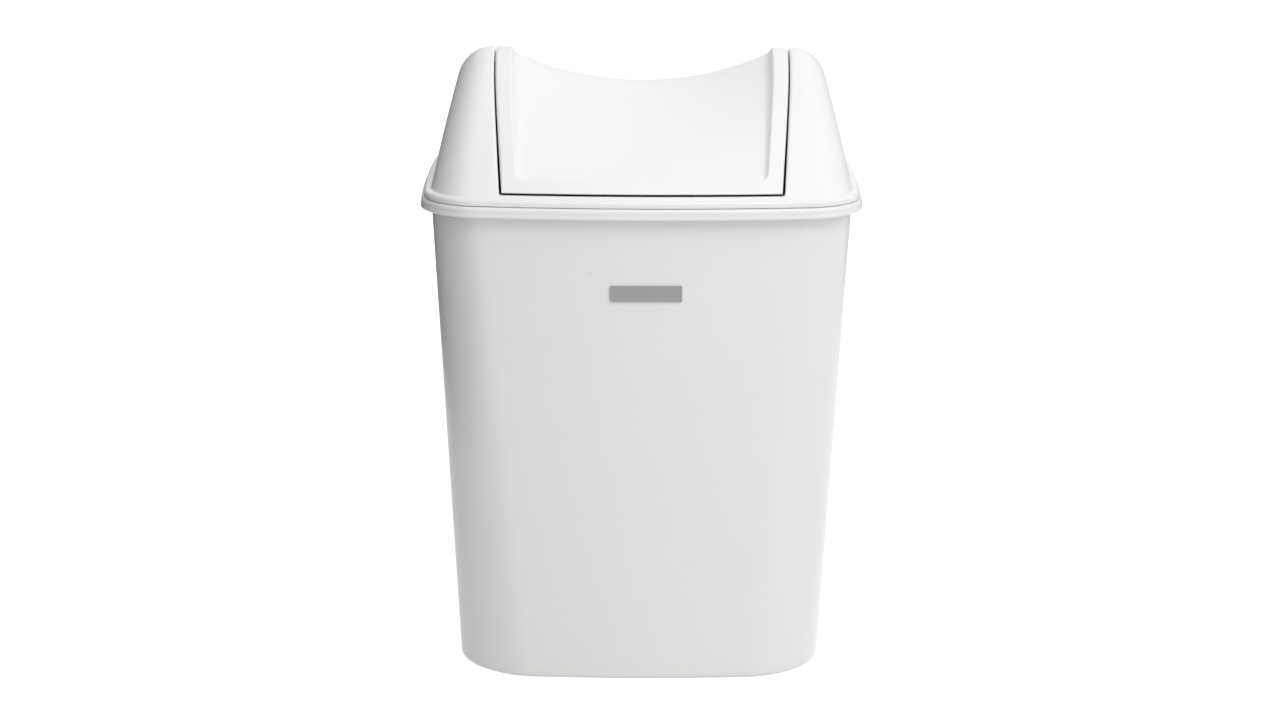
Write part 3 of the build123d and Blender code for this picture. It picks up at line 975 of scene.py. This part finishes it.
@dataclass
class Hood:
    """The lift-off hood in one moulding: flange, sills and two hollow cheeks round the window."""

    roof: Roof = Roof()
    window_half_ridge: float = 77.1
    window_half_foot: float = 72.6
    window_foot_height: float = 265.4
    window_clearance: float = 1.15
    cowl_half_foot: float = 108.9
    cowl_half_top: float = 92.4
    cheek_bulge: float = 0.7
    corner_foot: float = 20.5
    corner_top: float = 12.5
    wall: float = 2.2
    side_edge: float = 1.3
    foot_edge: float = 0.5
    flange: tuple[float, float, float] = (226.8, 155.4, 26.0)
    flange_bottom: float = 259.3
    flange_edge: float = 1.8
    # The broken lower edge's rows: how far each is drawn in, and its height above the underside
    flange_break: tuple[Point, ...] = ((0.0, 0.4), (0.12, 0.12), (0.4, 0.0))
    # Rows of the ledge, as shares of the way out from the cowl's foot
    ledge_rows: Point = (0.85, 1.0)
    # How far the cove reaches out over the flange's ledge, as a share of it
    cove: float = 0.7
    opening: tuple[float, float, float] = (210.4, 139.0, 22.1)
    lip: tuple[float, float, float] = (214.0, 142.6, 23.9)
    lip_bottom: float = 252.3
    lip_thickness: float = 1.8
    lip_edge: float = 0.5
    lip_start: float = 86.0
    # How far the lip reaches up into the flange
    lip_root: float = 0.5
    boss: Boss = Boss(bore_radius=3.05, radius=6.0, length=2.5, bevel=0.3)
    # Rows of the cheeks and sills below the window, as shares of the way up from the flange
    sill_rows: tuple[float, ...] = (0.0, 0.36, 0.6, 0.8, 1.0)
    fan_steps: int = 120
    rise_steps: int = 78
    # The rays of the fan are closer together above this rise, in degrees
    close_rise: float = 62.0
    sill_steps: int = 110
    fan_rounds: int = 5
    plate_steps: int = 144
    plate_rows: int = 14
    plate_first_row: float = 0.12
    # How far the cheek's wall stands back from the window's own side
    plate_setback: float = 0.02
    # Its white is a shade lighter than the container's: in part a painted light for the greater
    # light on its upward-sloping roof.
    finish: MouldedPlastic = MouldedPlastic(
        "abs_white_satin_hood_painted_light", "f3f3f3", 0.36, wave_depth_mm=0.02
    )

    @property
    def window(self) -> Swing:
        """The space that is left free for the flap."""
        halves = self.window_half_ridge, self.window_half_foot
        return Swing(self.roof, *halves, self.window_foot_height, self.window_clearance)

    def distance(self, points: Array, inset: float) -> Array:
        """Distance of places outside the cowl's skin, whose corner radius grows to the foot.

        Args:
            points: Places on the right-hand side.
            inset: How far the skin is drawn in.

        Returns:
            The distance, below 0 inside.
        """
        x, y, z = points[..., 0], points[..., 1], points[..., 2]
        low, high = self.roof.flange_top, self.roof.top
        share = np.clip((high - z) / (high - low), 0, 1.1)
        corner = self.corner_top + (self.corner_foot - self.corner_top) * share - inset
        # The sides lean in and bulge slightly
        up = (z - low) / (high - low)
        straight = self.cowl_half_foot + (self.cowl_half_top - self.cowl_half_foot) * up
        side = straight + 4 * self.cheek_bulge * up * (1 - up)
        lean = math.cos(math.atan2(self.cowl_half_foot - self.cowl_half_top, high - low))
        from_roof = self.roof.distance(x, y, z) + inset + corner
        from_side = (x - side) * lean + inset + corner
        flat = np.minimum(np.maximum(from_roof, from_side), 0)
        return flat + np.hypot(np.maximum(from_roof, 0), np.maximum(from_side, 0)) - corner

    def cast(self, origin: Array, direction: Array, inset: float) -> Array:
        """Casts rays from inside to the skin.

        Args:
            origin: Where they start.
            direction: Their directions, of length 1.
            inset: How far the skin is drawn in.

        Returns:
            The point where each meets the skin.
        """
        near, far = np.zeros(len(direction)), np.full(len(direction), RAY_LENGTH)

        def inside(along: Array) -> Array:
            """Tells which places along the rays are inside."""
            return self.distance(origin + direction * along[:, None], inset) < 0

        return origin + direction * last_inside(near, far, inside)[:, None]

    def window_line(self, x: Array, edge: float) -> Array:
        """Height at which the roof meets the window's foot, at each x.

        Args:
            x: Places along the foot.
            edge: How far outside the window's own line.

        Returns:
            The heights.
        """
        limit = self.window.reach(x) + edge
        low, high = (np.full_like(x, z) for z in (self.roof.flange_top, self.roof.pivot_height))

        def beyond(z: Array) -> Array:
            """Tells which heights are farther out than the window."""
            return np.hypot(self.roof.depth_at(x, z), z - self.roof.pivot_height) > limit

        return last_inside(low, high, beyond)

    def cheek(self, edge_side: float, edge_foot: float, inset: float) -> Array:
        """Lays out the right cheek's skin as a fan of rays from the middle of the window's edge.

        Args:
            edge_side: How far the skin stops short of the window's side.
            edge_foot: How far it stops short of the window's foot.
            inset: How far the skin is drawn in.

        Returns:
            Points by direction from front to back, and by row from the flange up to the ridge.
        """
        window, low = self.window, self.roof.flange_top
        foot_x = np.array([self.window_half_foot])
        foot_z = self.window_line(foot_x, edge_foot)
        half_foot, foot_z = float(self.roof.depth_at(foot_x, foot_z)[0]), float(foot_z[0])
        turns = np.radians(np.linspace(-90, 90, self.fan_steps + 1))
        edge_at_foot = min(edge_side, self.foot_edge)
        start_x = float(window.side_at(half_foot, foot_z)) + edge_at_foot

        def fan(level: float, rise: float) -> Array:
            """Casts rays all round from the window's edge.

            Args:
                level: The height that they start at.
                rise: Their rise above the horizon, in radians.

            Returns:
                The points where they meet the skin.
            """
            flat = math.cos(rise)
            direction = xyz(flat * np.cos(turns), flat * np.sin(turns), math.sin(rise))
            return self.cast(np.array([start_x, 0, level]), direction, inset)

        rows = [fan(low + (foot_z - low) * share, 0.0) for share in self.sill_rows]
        wide, close = self.rise_steps // 2, self.rise_steps - self.rise_steps // 2 + 1
        spread = np.linspace(0, self.close_rise, wide, endpoint=False)[1:]
        rises = np.concatenate([spread, np.linspace(self.close_rise, 90, close)])
        for rise in np.radians(rises):
            # The window's side leans, so the fan's start is found in a few rounds
            for _ in range(self.fan_rounds):
                up = np.array([[0, -math.cos(rise), math.sin(rise)]])
                place = self.cast(np.array([start_x, 0, foot_z]), up, inset)[0]
                grown = float(smooth_step((half_foot - abs(place[1])) / EDGE_FADE))
                edge = edge_at_foot + (edge_side - edge_at_foot) * grown
                start_x = float(window.side_at(place[1], place[2])) + edge
            rows.append(fan(foot_z, rise))
        return np.stack(rows, axis=1)

    def sill_places(self, end: Array) -> Array:
        """The x of a sill's points, from left to right."""
        return np.linspace(-end[0, 0], end[0, 0], self.sill_steps + 1)

    def between_cheeks(self, end: Array, y: Array, z: Array) -> Array:
        """Makes a sill's points from their y and z, with its ends on the cheeks' edges.

        Args:
            end: The front edge of the right cheek's skin.
            y: The y of each point.
            z: The height of each point.

        Returns:
            Points from left to right, and by row from the flange up to the window.
        """
        grid = xyz(self.sill_places(end)[:, None], y, z)
        grid[-1], grid[0] = end, end * FLIP_X
        return grid

    def sill(self, cheek: Array, edge_foot: float) -> Array:
        """Lays out the skin of the front sill, between the two cheeks.

        Args:
            cheek: Points of the right cheek.
            edge_foot: How far the skin stops short of the window's foot.

        Returns:
            Points from left to right, and by row from the flange up to the window.
        """
        end = cheek[0, : len(self.sill_rows)]
        x = self.sill_places(end)
        shares = (end[:, 2] - end[0, 2]) / (end[-1, 2] - end[0, 2])
        z = end[0, 2] + (self.window_line(x, edge_foot) - end[0, 2])[:, None] * shares[None, :]
        return self.between_cheeks(end, -self.roof.depth_at(x[:, None], z), z)

    def inner_sill(self, cheek: Array) -> Array:
        """Lays out the face of the front sill that the flap sweeps past.

        Args:
            cheek: Points of the right cheek's inner skin.

        Returns:
            Points from left to right, and by row from the flange up to the window.
        """
        end = cheek[0, : len(self.sill_rows)]
        half = self.window_half_foot
        reach = self.window.reach(np.clip(self.sill_places(end), -half, half))
        y = -np.sqrt(reach[:, None] ** 2 - (end[:, 2] - self.roof.pivot_height) ** 2)
        return self.between_cheeks(end, y, end[:, 2])

    def loops(self, cheek: Array, sill: Array) -> tuple[Array, Array, Array]:
        """Collects the borders of a skin.

        Args:
            cheek: Points of the right cheek.
            sill: Points of the front sill.

        Returns:
            The loop round its foot, the ring above that, and the loop round the window.
        """
        back_sill = sill * FLIP_Y

        def ring(row: int) -> Array:
            """Follows a row round the whole skin.

            Args:
                row: The row, counted from the foot.

            Returns:
                Its closed loop of points.
            """
            right = cheek[:, row]
            left = (right * FLIP_X)[:0:-1]
            return np.concatenate([sill[:-1, row], right[:-1], back_sill[:0:-1, row], left])

        top = len(self.sill_rows) - 1
        front, back = cheek[0, top:], cheek[-1, top:]
        right = [sill[1:-1, top], front, back[-2::-1]]
        left = [back_sill[-2:0:-1, top], back * FLIP_X, (front * FLIP_X)[-2::-1]]
        return ring(0), ring(1), np.concatenate([*right, *left])

    def flange_rings(self, work: Patchwork, foot: Array, above: Array, opening: Array) -> None:
        """Adds the cove at the cowl's foot, the flange with its rounded edge, and its underside.

        Args:
            work: The mesh in the making.
            foot: Loop of the cowl's foot on the flange.
            above: Loop of the cowl's skin just above it.
            opening: Loop of the inner skin's foot.
        """
        top, low, edge = self.roof.flange_top, self.flange_bottom, self.flange_edge
        plan = foot[:, :2]

        def outline(inset: float, height: float) -> Array:
            """The flange's outline, drawn in and set at a height."""
            return raised(same_bearing(bowed_plan(*self.flange, inset), plan), height)

        ledge = outline(edge, top)[:, :2]
        out = raised(plan + (ledge - plan) * self.cove, top)
        rings = [above]
        for t in np.linspace(0.25, 1, 4):
            rings.append(above * (1 - t) ** 2 + 2 * foot * t * (1 - t) + out * t**2)
        rings += [raised(plan * (1 - t) + ledge * t, top) for t in self.ledge_rows]
        for turn in np.radians(np.arange(15, 91, 15)):
            rings.append(outline(edge * (1 - math.sin(turn)), top - edge * (1 - math.cos(turn))))
        rings += [outline(inset, low + rise) for inset, rise in self.flange_break]
        rings += [raised(same_bearing(bowed_plan(*self.opening), plan), low), opening]
        work.hoops(rings)

    def plate(self, work: Patchwork, side: Side) -> None:
        """Adds the wall of a cheek that faces the flap, with its boss.

        Args:
            work: The mesh in the making.
            side: Which cheek.
        """
        window, pivot, bore = self.window, self.roof.pivot_height, self.boss.bore_radius
        turns = np.linspace(0, 2 * math.pi, self.plate_steps, endpoint=False)
        away = np.abs((turns + math.pi) % (2 * math.pi) - math.pi)
        slope = float(self.roof.slope(self.window_half_ridge))
        inside = self.roof.ridge_radius - self.wall / 2
        # The least values stand for directions in which a line isn't met
        beside = inside / np.maximum(np.cos(away - slope), 0.05)
        below = (pivot - self.flange_bottom) / np.maximum(-np.cos(away), 1e-3)
        limit = np.minimum(np.where(away < slope, inside, beside), below)
        shares = np.concatenate([[0.0], np.linspace(self.plate_first_row, 1, self.plate_rows)])

        radii = bore + (limit - bore) * shares[:, None]

        def face(step: float) -> Array:
            """The rings of one face of the wall."""
            along = side.value * (window.half_width(radii) + step)
            return xyz(along, radii * np.sin(turns), pivot + radii * np.cos(turns))

        work.hoops([*face(self.plate_setback), *face(self.wall)[::-1]], closed=True)
        wall_face = float(window.half_width(self.boss.radius)) + self.wall
        work.boss(self.boss, side, wall_face, 1, pivot)

    def locating_lip(self, work: Patchwork, side: Side) -> None:
        """Adds the lip under one end of the flange.

        Args:
            work: The mesh in the making.
            side: Which end.
        """
        thick, edge, low = self.lip_thickness, self.lip_edge, self.lip_bottom
        root = self.flange_bottom + self.lip_root
        outer = bowed_plan(*self.lip)
        path = outer[outer[:, 0] > self.lip_start]
        path = path[np.argsort(np.arctan2(path[:, 1], path[:, 0]))]
        section = [(0.0, root), (0.0, low + edge), (edge, low)]
        section += [(thick - edge, low), (thick, low + edge), (thick, root)]
        rings = []
        for inset, height in section:
            plan = same_bearing(bowed_plan(*self.lip, inset), path)
            rings.append(raised(plan * np.array([side.value, 1]), height))
        index = work.layer(np.stack([*rings, rings[0]]))
        work.panel(index)
        work.faces += [tuple(index[:-1, end].tolist()) for end in (0, -1)]

    def build(self) -> Piece:
        """Builds the hood as closed shells and lets it stand for its solid.

        Returns:
            The finished piece.
        """
        work = Patchwork()
        cheek = self.cheek(self.side_edge, self.foot_edge, 0.0)
        sill = self.sill(cheek, self.foot_edge)
        wall_cheek = self.cheek(0.0, 0.0, 0.0)
        inner_cheek = self.cheek(0.0, 0.0, self.wall)
        inner_sill = self.inner_sill(inner_cheek)
        foot, above, window = self.loops(cheek, sill)
        wall = self.loops(wall_cheek, self.sill(wall_cheek, 0.0))[2]
        opening, _, inner_window = self.loops(inner_cheek, inner_sill)
        # The lowest row of the outer skin is left to the cove
        for right, front in ((inner_cheek, inner_sill), (cheek[:, 1:], sill[:, 1:])):
            work.panels(right, right * FLIP_X, front, front * FLIP_Y)
        work.hoops([*self.roof.rounded_edge(window, wall, window), inner_window])
        self.flange_rings(work, foot, above, opening)
        for side in Side:
            self.plate(work, side)
            self.locating_lip(work, side)
        piece = work.piece("hood_cowl", smooth_angle=40)
        piece.data.materials.append(self.finish.material())
        stand_in(piece, Body.HOOD, Node.HOOD)
        return piece


@dataclass
class Flap:
    """The saddle-shaped flap: a roof over the pivot axis, scooped between two frame strips."""

    roof: Roof = Roof()
    half_ridge: float = 76.35
    half_foot: float = 71.4
    foot_height: float = 265.5
    wall: float = 2.4
    strip: float = 8.0
    recess_corner: float = 4.5
    recess_step: float = 3.4
    saddle_dip: float = 16.8
    saddle_edge_drop: float = 0.4
    floor_ridge_radius: float = 8.0
    # Width of the recess's wall, as a share of its depth
    flank_run: float = 1.05
    strip_edge: float = 1.2
    side_edge: float = 1.3
    foot_edge: float = 0.6
    boss: Boss = Boss(bore_radius=3.0, radius=6.0, length=5.0, bevel=0.4)
    # The grid is closer over these widths beside the sides, the ridge and the feet
    close_side: float = 24.0
    close_row: float = 18.0
    grid_depth: float = 72.0
    grid_rounds: int = 4
    # Columns in the middle and at a flank, and rows at the ridge, on a slope and at a foot
    column_counts: tuple[int, int] = (36, 58)
    row_counts: tuple[int, int, int] = (26, 30, 44)
    # The skin keeps this far above the foot
    least_rise: float = 0.2
    # Points of the walls this near to a side lie on its cone, but for those this near to a foot
    side_band: float = 2.0
    foot_band: float = 1.5
    # Its white is a shade lighter than the container's: in part a painted light for the greater
    # light on its upward-sloping roof.
    finish: MouldedPlastic = MouldedPlastic(
        "abs_white_satin_flap_painted_light", "f3f3f3", 0.36, wave_depth_mm=0.02
    )

    @property
    def swing(self) -> Swing:
        """The outline that turns about the pivot axis."""
        return Swing(self.roof, self.half_ridge, self.half_foot, self.foot_height)

    @property
    def foot_drop(self) -> float:
        """Height of the pivot above the flap's foot."""
        return self.roof.pivot_height - self.foot_height

    def saddle(self, x: Array, y: Array) -> Array:
        """Lays out the scooped floor of the recess.

        Args:
            x: The x of each place.
            y: The y of each place.

        Returns:
            The floor's height above the pivot axis.
        """
        half, round_radius = self.half_ridge, self.floor_ridge_radius
        recess_half = half - self.strip
        radius = (recess_half**2 + self.saddle_dip**2) / (2 * self.saddle_dip)
        face_slope = float(self.roof.slope(0.0))
        ridge_middle = self.roof.ridge_radius - self.saddle_edge_drop - self.saddle_dip
        ridge_side = ridge_middle + radius - math.sqrt(radius**2 - half**2)
        foot_y = float(self.swing.foot_depth(0.0)) - self.strip * math.cos(face_slope)
        foot_z = -self.foot_drop + self.strip * math.sin(face_slope)
        foot_z -= self.recess_step / math.cos(face_slope)
        far = np.abs(y)

        def line(ridge: float) -> Point:
            """Lays a straight line from the foot to a crease that rounds to a ridge.

            Args:
                ridge: Height of the rounded ridge.

            Returns:
                The crease's height and the line's fall per millimetre.
            """
            slope = math.atan2(ridge - foot_z, foot_y)
            crease = ridge + round_radius * (1 / math.cos(slope) - 1)
            return crease, (crease - foot_z) / foot_y

        middle_crease, middle_fall = line(ridge_middle)
        side_crease, side_fall = line(ridge_side)
        run = np.minimum(far, foot_y + self.strip)
        sag = (side_crease - side_fall * run) - (middle_crease - middle_fall * run)
        safe_sag = np.where(np.abs(sag) > 1e-6, sag, 1e-6)
        curve = (half**2 + safe_sag**2) / (2 * safe_sag)
        rise = np.sign(curve) * (np.abs(curve) - np.sqrt(np.maximum(curve**2 - x**2, 0)))
        height = middle_crease - middle_fall * run + rise
        # The crease over the pivot axis is rounded
        angle = np.arctan(middle_fall + (side_fall - middle_fall) * (x / half) ** 2)
        crease = middle_crease + radius - np.sqrt(radius**2 - x**2)
        over = np.sqrt(np.maximum(round_radius**2 - far**2, 0))
        rounded = crease - round_radius / np.cos(angle) + over
        return np.where(far < round_radius * np.sin(angle), rounded, height)

    def inside(self, x: Array, y: Array, roof: Array) -> Array:
        """Measures how far places lie inside the recess's border.

        Args:
            x: The x of each place.
            y: The y of each place.
            roof: The roof's height there, above the pivot axis.

        Returns:
            The distances, below 0 outside.
        """
        radius = np.hypot(y, roof)
        margin = self.strip + self.recess_corner
        across = np.abs(x) - (self.swing.half_width(radius) - margin)
        down = radius - (self.swing.reach(x) - margin)
        outside = np.hypot(np.maximum(across, 0), np.maximum(down, 0))
        return self.recess_corner - outside - np.minimum(np.maximum(across, down), 0)

    def skin(self, x: Array, y: Array) -> Array:
        """Lays out the moulded outer skin: the roof, the recess's softened wall and its floor.

        Args:
            x: The x of each place.
            y: The y of each place.

        Returns:
            The skin's height above the pivot axis.
        """
        roof = self.roof.height(x, y)
        soft = self.strip_edge
        border = self.inside(x, y, roof) + soft / 2
        softened = np.square(np.maximum(border, 0)) / (2 * soft)
        border = np.where(border < soft, softened, border - soft / 2)
        slope_cos = np.cos(np.arctan(np.abs(y) / np.maximum(np.hypot(y, roof), 1e-6)))
        depth = np.maximum(roof - self.saddle(x, y), 0) * slope_cos
        share = np.clip(border / np.maximum(self.flank_run * depth, 0.5), 0, 1)
        return roof - depth * (1 - (1 - share) ** 2) / slope_cos

    def columns(self) -> Array:
        """Spaces the grid's columns, closer at the recess's flanks.

        Returns:
            Their places from left to right, as shares of the half width.
        """
        half, turn = self.half_ridge, self.half_ridge - self.close_side
        in_middle, at_flank = self.column_counts
        middle = np.linspace(0, turn, in_middle, endpoint=False)
        right = np.concatenate([middle, np.linspace(turn, half, at_flank)]) / half
        return np.concatenate([-right[:0:-1], right])

    def rows(self) -> Array:
        """Spaces the grid's rows, closer at the ridge and the feet.

        Returns:
            Their places from the front foot to the back foot, as shares of the half depth.
        """
        half, close = self.grid_depth, self.close_row
        at_ridge, on_slope, at_foot = self.row_counts
        ridge = np.linspace(0, close, at_ridge, endpoint=False)
        slope = np.linspace(close, half - close, on_slope, endpoint=False)
        back = np.concatenate([ridge, slope, np.linspace(half - close, half, at_foot)]) / half
        return np.concatenate([-back[:0:-1], back])

    def surface(self, side_inset: float, foot_inset: float, sink: float = 0.0) -> Array:
        """Lays out the skin, or the skin sunk by a wall.

        Args:
            side_inset: How far it is drawn in from the flap's sides, less near the feet.
            foot_inset: How far it is drawn in from the feet, along the slope.
            sink: How far it lies under the outer skin.

        Returns:
            Points, a row for each step along the depth.
        """
        across, along = np.meshgrid(self.columns(), self.rows())
        x, y = across * self.half_ridge, along * self.grid_depth
        least = min(side_inset, self.foot_edge)
        for _ in range(self.grid_rounds):
            y = along * (self.swing.foot_depth(x) - foot_inset * np.cos(self.roof.slope(x)))
            radius = np.hypot(y, self.roof.height(x, y))
            grown = smooth_step((self.swing.foot_depth(x) - np.abs(y)) / EDGE_FADE)
            inset = side_inset * grown + least * (1 - grown)
            x = across * (self.swing.half_width(radius) - inset)
        z = self.skin(x, y) - sink / np.cos(self.roof.slope(x))
        z = np.maximum(z, -self.foot_drop + self.least_rise) + self.roof.pivot_height
        return xyz(x, y, z)

    def border(self, grid: Array) -> Array:
        """Returns the loop round the edge of a grid."""
        return np.concatenate([grid[0, :], grid[1:, -1], grid[-1, -2::-1], grid[-2:0:-1, 0]])

    def on_side(self, ring: Array) -> Array:
        """Puts the points of the side walls on the cone they lie on.

        Args:
            ring: A loop of points round the walls.

        Returns:
            The x of each point.
        """
        limit = self.swing.side_at(ring[:, 1], ring[:, 2])
        at_side = np.abs(ring[:, 0]) > limit - self.side_band
        at_foot = np.abs(ring[:, 1]) > self.swing.foot_depth(ring[:, 0]) - self.foot_band
        return np.where(at_side & ~at_foot, np.sign(ring[:, 0]) * limit, ring[:, 0])

    def lowered(self, loop: Array, share: float) -> Array:
        """Copies a loop of points on the way down to the foot.

        Args:
            loop: The loop.
            share: How much of the way down the copy is.

        Returns:
            The copy.
        """
        ring = loop.copy()
        ring[:, 2] += (self.foot_height - loop[:, 2]) * share
        return ring

    def build(self) -> Piece:
        """Builds the flap as a closed shell with its bosses and lets it stand for its solid.

        Returns:
            The finished piece.
        """
        work = Patchwork()
        outer = self.surface(self.side_edge, self.foot_edge)
        inner = self.surface(self.wall, self.wall, self.wall)
        work.panels(outer, inner)
        rim = self.border(self.surface(0.0, 0.0))
        rings = self.roof.rounded_edge(self.border(outer), rim, rim)
        wall_top = rings[-1]
        for share in np.linspace(0.25, 1, 4):
            ring = self.lowered(wall_top, share)
            ring[:, 0] = self.on_side(ring)
            rings.append(ring)
        rings += [self.lowered(self.border(inner), share) for share in (1.0, 0.5, 0.0)]
        work.hoops(rings)
        wall_face = float(self.swing.half_width(self.boss.radius)) - self.wall
        for side in Side:
            work.boss(self.boss, side, wall_face, -1, self.roof.pivot_height)
        piece = work.piece("flap_saddle", smooth_angle=50)
        piece.data.materials.append(self.finish.material())
        stand_in(piece, Body.FLAP, Node.FLAP)
        return piece


# --- Studio ---


@dataclass(frozen=True)
class Card:
    """A matt card that the camera doesn't see. It dims what a side mirrors and receives.

    Its lower and upper edges are given by their corners in plan, all in metres.
    """

    name: str
    foot: tuple[Point, ...]
    top: tuple[Point, ...]
    hex_colour: str
    clearance: float = 0.05
    height: float = 0.7

    def hang(self) -> None:
        """Hangs the card a little above the floor, so that it leaves no line there."""
        corners = [(x, y, self.clearance) for x, y in self.foot]
        corners += [(x, y, self.height) for x, y in self.top]
        count = len(self.foot)
        faces = [(i, i + 1, count + i + 1, count + i) for i in range(count - 1)]
        card = mesh_object(self.name, corners, faces)
        material, tree = new_material(f"matt_card_{self.hex_colour}")
        matt = add_node(tree, "ShaderNodeBsdfDiffuse", {"Color": linear(self.hex_colour)})
        add_node(tree, "ShaderNodeOutputMaterial", {"Surface": matt.outputs[0]})
        card.data.materials.append(material)
        card.visible_camera = False


OBJECT_MIDDLE = Vector((0, 0, 0.17))
PALE_CARD_PLAN = ((0.45, 0.25), (0.40, 0.6), (0.30, 0.85))


@dataclass(frozen=True)
class Lamp:
    """A square soft light that faces the object.

    It hangs at an azimuth, in degrees from the camera's side towards +X, at an elevation and at
    a distance from the object's middle, in metres.
    """

    name: str
    azimuth: float
    elevation: float
    distance: float
    size: float
    watts: float

    def hang(self) -> None:
        """Hangs the lamp, turned to the object's middle."""
        data = bpy.data.lights.new(self.name, "AREA")
        data.shape = "SQUARE"
        data.size = self.size
        data.energy = self.watts
        lamp = new_object(self.name, data)
        a, e = math.radians(self.azimuth), math.radians(self.elevation)
        away = Vector((math.sin(a) * math.cos(e), -math.cos(a) * math.cos(e), math.sin(e)))
        lamp.location = OBJECT_MIDDLE + away * self.distance
        lamp.rotation_euler = (-away).to_track_quat("-Z", "Y").to_euler()


@dataclass
class Studio:
    """The camera, the pale floor and plain soft light."""

    camera_place: tuple[float, float, float] = (-0.0087, -1.509, 0.556)
    look_down_deg: float = 14.7
    yaw: float = -0.0056
    roll: float = 0.005
    lens: float = 81.28
    sensor: float = 36.0
    clip: Point = (0.05, 50.0)
    floor_size: float = 9.0
    floor_colour: str = "e8e8e8"
    floor_lift: float = 0.75
    world_strength: float = 0.73
    fittings: tuple[Lamp | Card, ...] = (
        Lamp("softbox_front", 15.0, 50.0, 1.7, 0.7, 4.9),
        Lamp("softbox_top", 30.0, 80.0, 1.2, 0.6, 0.95),
        Lamp("softbox_right", 62.0, 36.0, 1.7, 0.7, 3.1),
        Card(
            "dark_card_left",
            foot=((-0.34, -0.30), (-0.33, 0.25), (-0.27, 0.65)),
            top=((-0.44, -0.30), (-0.42, 0.3), (-0.33, 0.75)),
            hex_colour="4a4a4a",
        ),
        Card("pale_card_right", foot=PALE_CARD_PLAN, top=PALE_CARD_PLAN, hex_colour="e1e1e1"),
    )

    def camera(self) -> None:
        """Sets the camera where the photograph was taken from."""
        data = bpy.data.cameras.new("photo_camera")
        data.sensor_fit = "HORIZONTAL"
        data.sensor_width = self.sensor
        data.lens = self.lens
        data.clip_start, data.clip_end = self.clip
        camera = new_object("photo_camera", data)
        pitch = math.radians(90 - self.look_down_deg)
        turn = Matrix.Rotation(self.yaw, 4, "Z") @ Matrix.Rotation(pitch, 4, "X")
        roll = Matrix.Rotation(self.roll, 4, "Z")
        camera.matrix_world = Matrix.Translation(self.camera_place) @ turn @ roll
        bpy.context.scene.camera = camera

    def looked_at(self, tree: Tree) -> Field:
        """Tells rays that show the surroundings from those that only gather light.

        Args:
            tree: The tree that asks.

        Returns:
            1 for rays from the camera, from a mirroring or through a clear surface, else 0.
        """
        path = add_node(tree, "ShaderNodeLightPath").outputs
        kinds = ("Is Camera Ray", "Is Glossy Ray", "Is Transmission Ray")
        camera, glossy, clear = (Field(tree, path[kind]) for kind in kinds)
        return camera.do("MAXIMUM", glossy).do("MAXIMUM", clear)

    def floor(self) -> None:
        """Lays the pale floor, which is white to the camera and keeps the object's shadow."""
        half = self.floor_size / 2
        corners = [(-half, -half, 0), (half, -half, 0), (half, half, 0), (-half, half, 0)]
        piece = mesh_object("studio_floor", corners, [(0, 1, 2, 3)])
        material, tree = new_material("matt_white_paper")
        lift = self.looked_at(tree) * self.floor_lift
        matt = add_node(tree, "ShaderNodeBsdfDiffuse", {"Color": linear(self.floor_colour)})
        white = {"Color": linear("ffffff"), "Strength": lift.socket}
        glow = add_node(tree, "ShaderNodeEmission", white)
        both = add_node(tree, "ShaderNodeAddShader", {0: matt.outputs[0], 1: glow.outputs[0]})
        add_node(tree, "ShaderNodeOutputMaterial", {"Surface": both.outputs[0]})
        piece.data.materials.append(material)

    def world(self) -> None:
        """Makes the surroundings white where they are seen and a plain grey where they light."""
        world = bpy.data.worlds.new("studio_surroundings")
        bpy.context.scene.world = world
        world.use_nodes = True
        tree = world.node_tree
        tree.nodes.clear()
        white_light = {"Color": linear("ffffff"), "Strength": 1.0}
        white = add_node(tree, "ShaderNodeBackground", white_light)
        white_light["Strength"] = self.world_strength
        light = add_node(tree, "ShaderNodeBackground", white_light)
        mix = {0: self.looked_at(tree).socket, 1: light.outputs[0], 2: white.outputs[0]}
        mixed = add_node(tree, "ShaderNodeMixShader", mix)
        add_node(tree, "ShaderNodeOutputWorld", {"Surface": mixed.outputs[0]})

    def build(self) -> None:
        """Sets up the whole studio."""
        self.camera()
        self.floor()
        self.world()
        for fitting in self.fittings:
            fitting.hang()
        bpy.context.scene.view_settings.view_transform = "Standard"


def save_sizes() -> None:
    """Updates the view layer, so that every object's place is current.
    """
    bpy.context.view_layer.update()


def main() -> None:
    """Builds the sanitary container and its studio."""
    logging.basicConfig(level=logging.INFO, format="%(name)s: %(message)s")
    Container().build()
    Hood().build()
    Flap().build()
    LabelPlate().dress()
    PivotPins().dress()
    Studio().build()
    save_sizes()


if __name__ == "__main__":
    main()
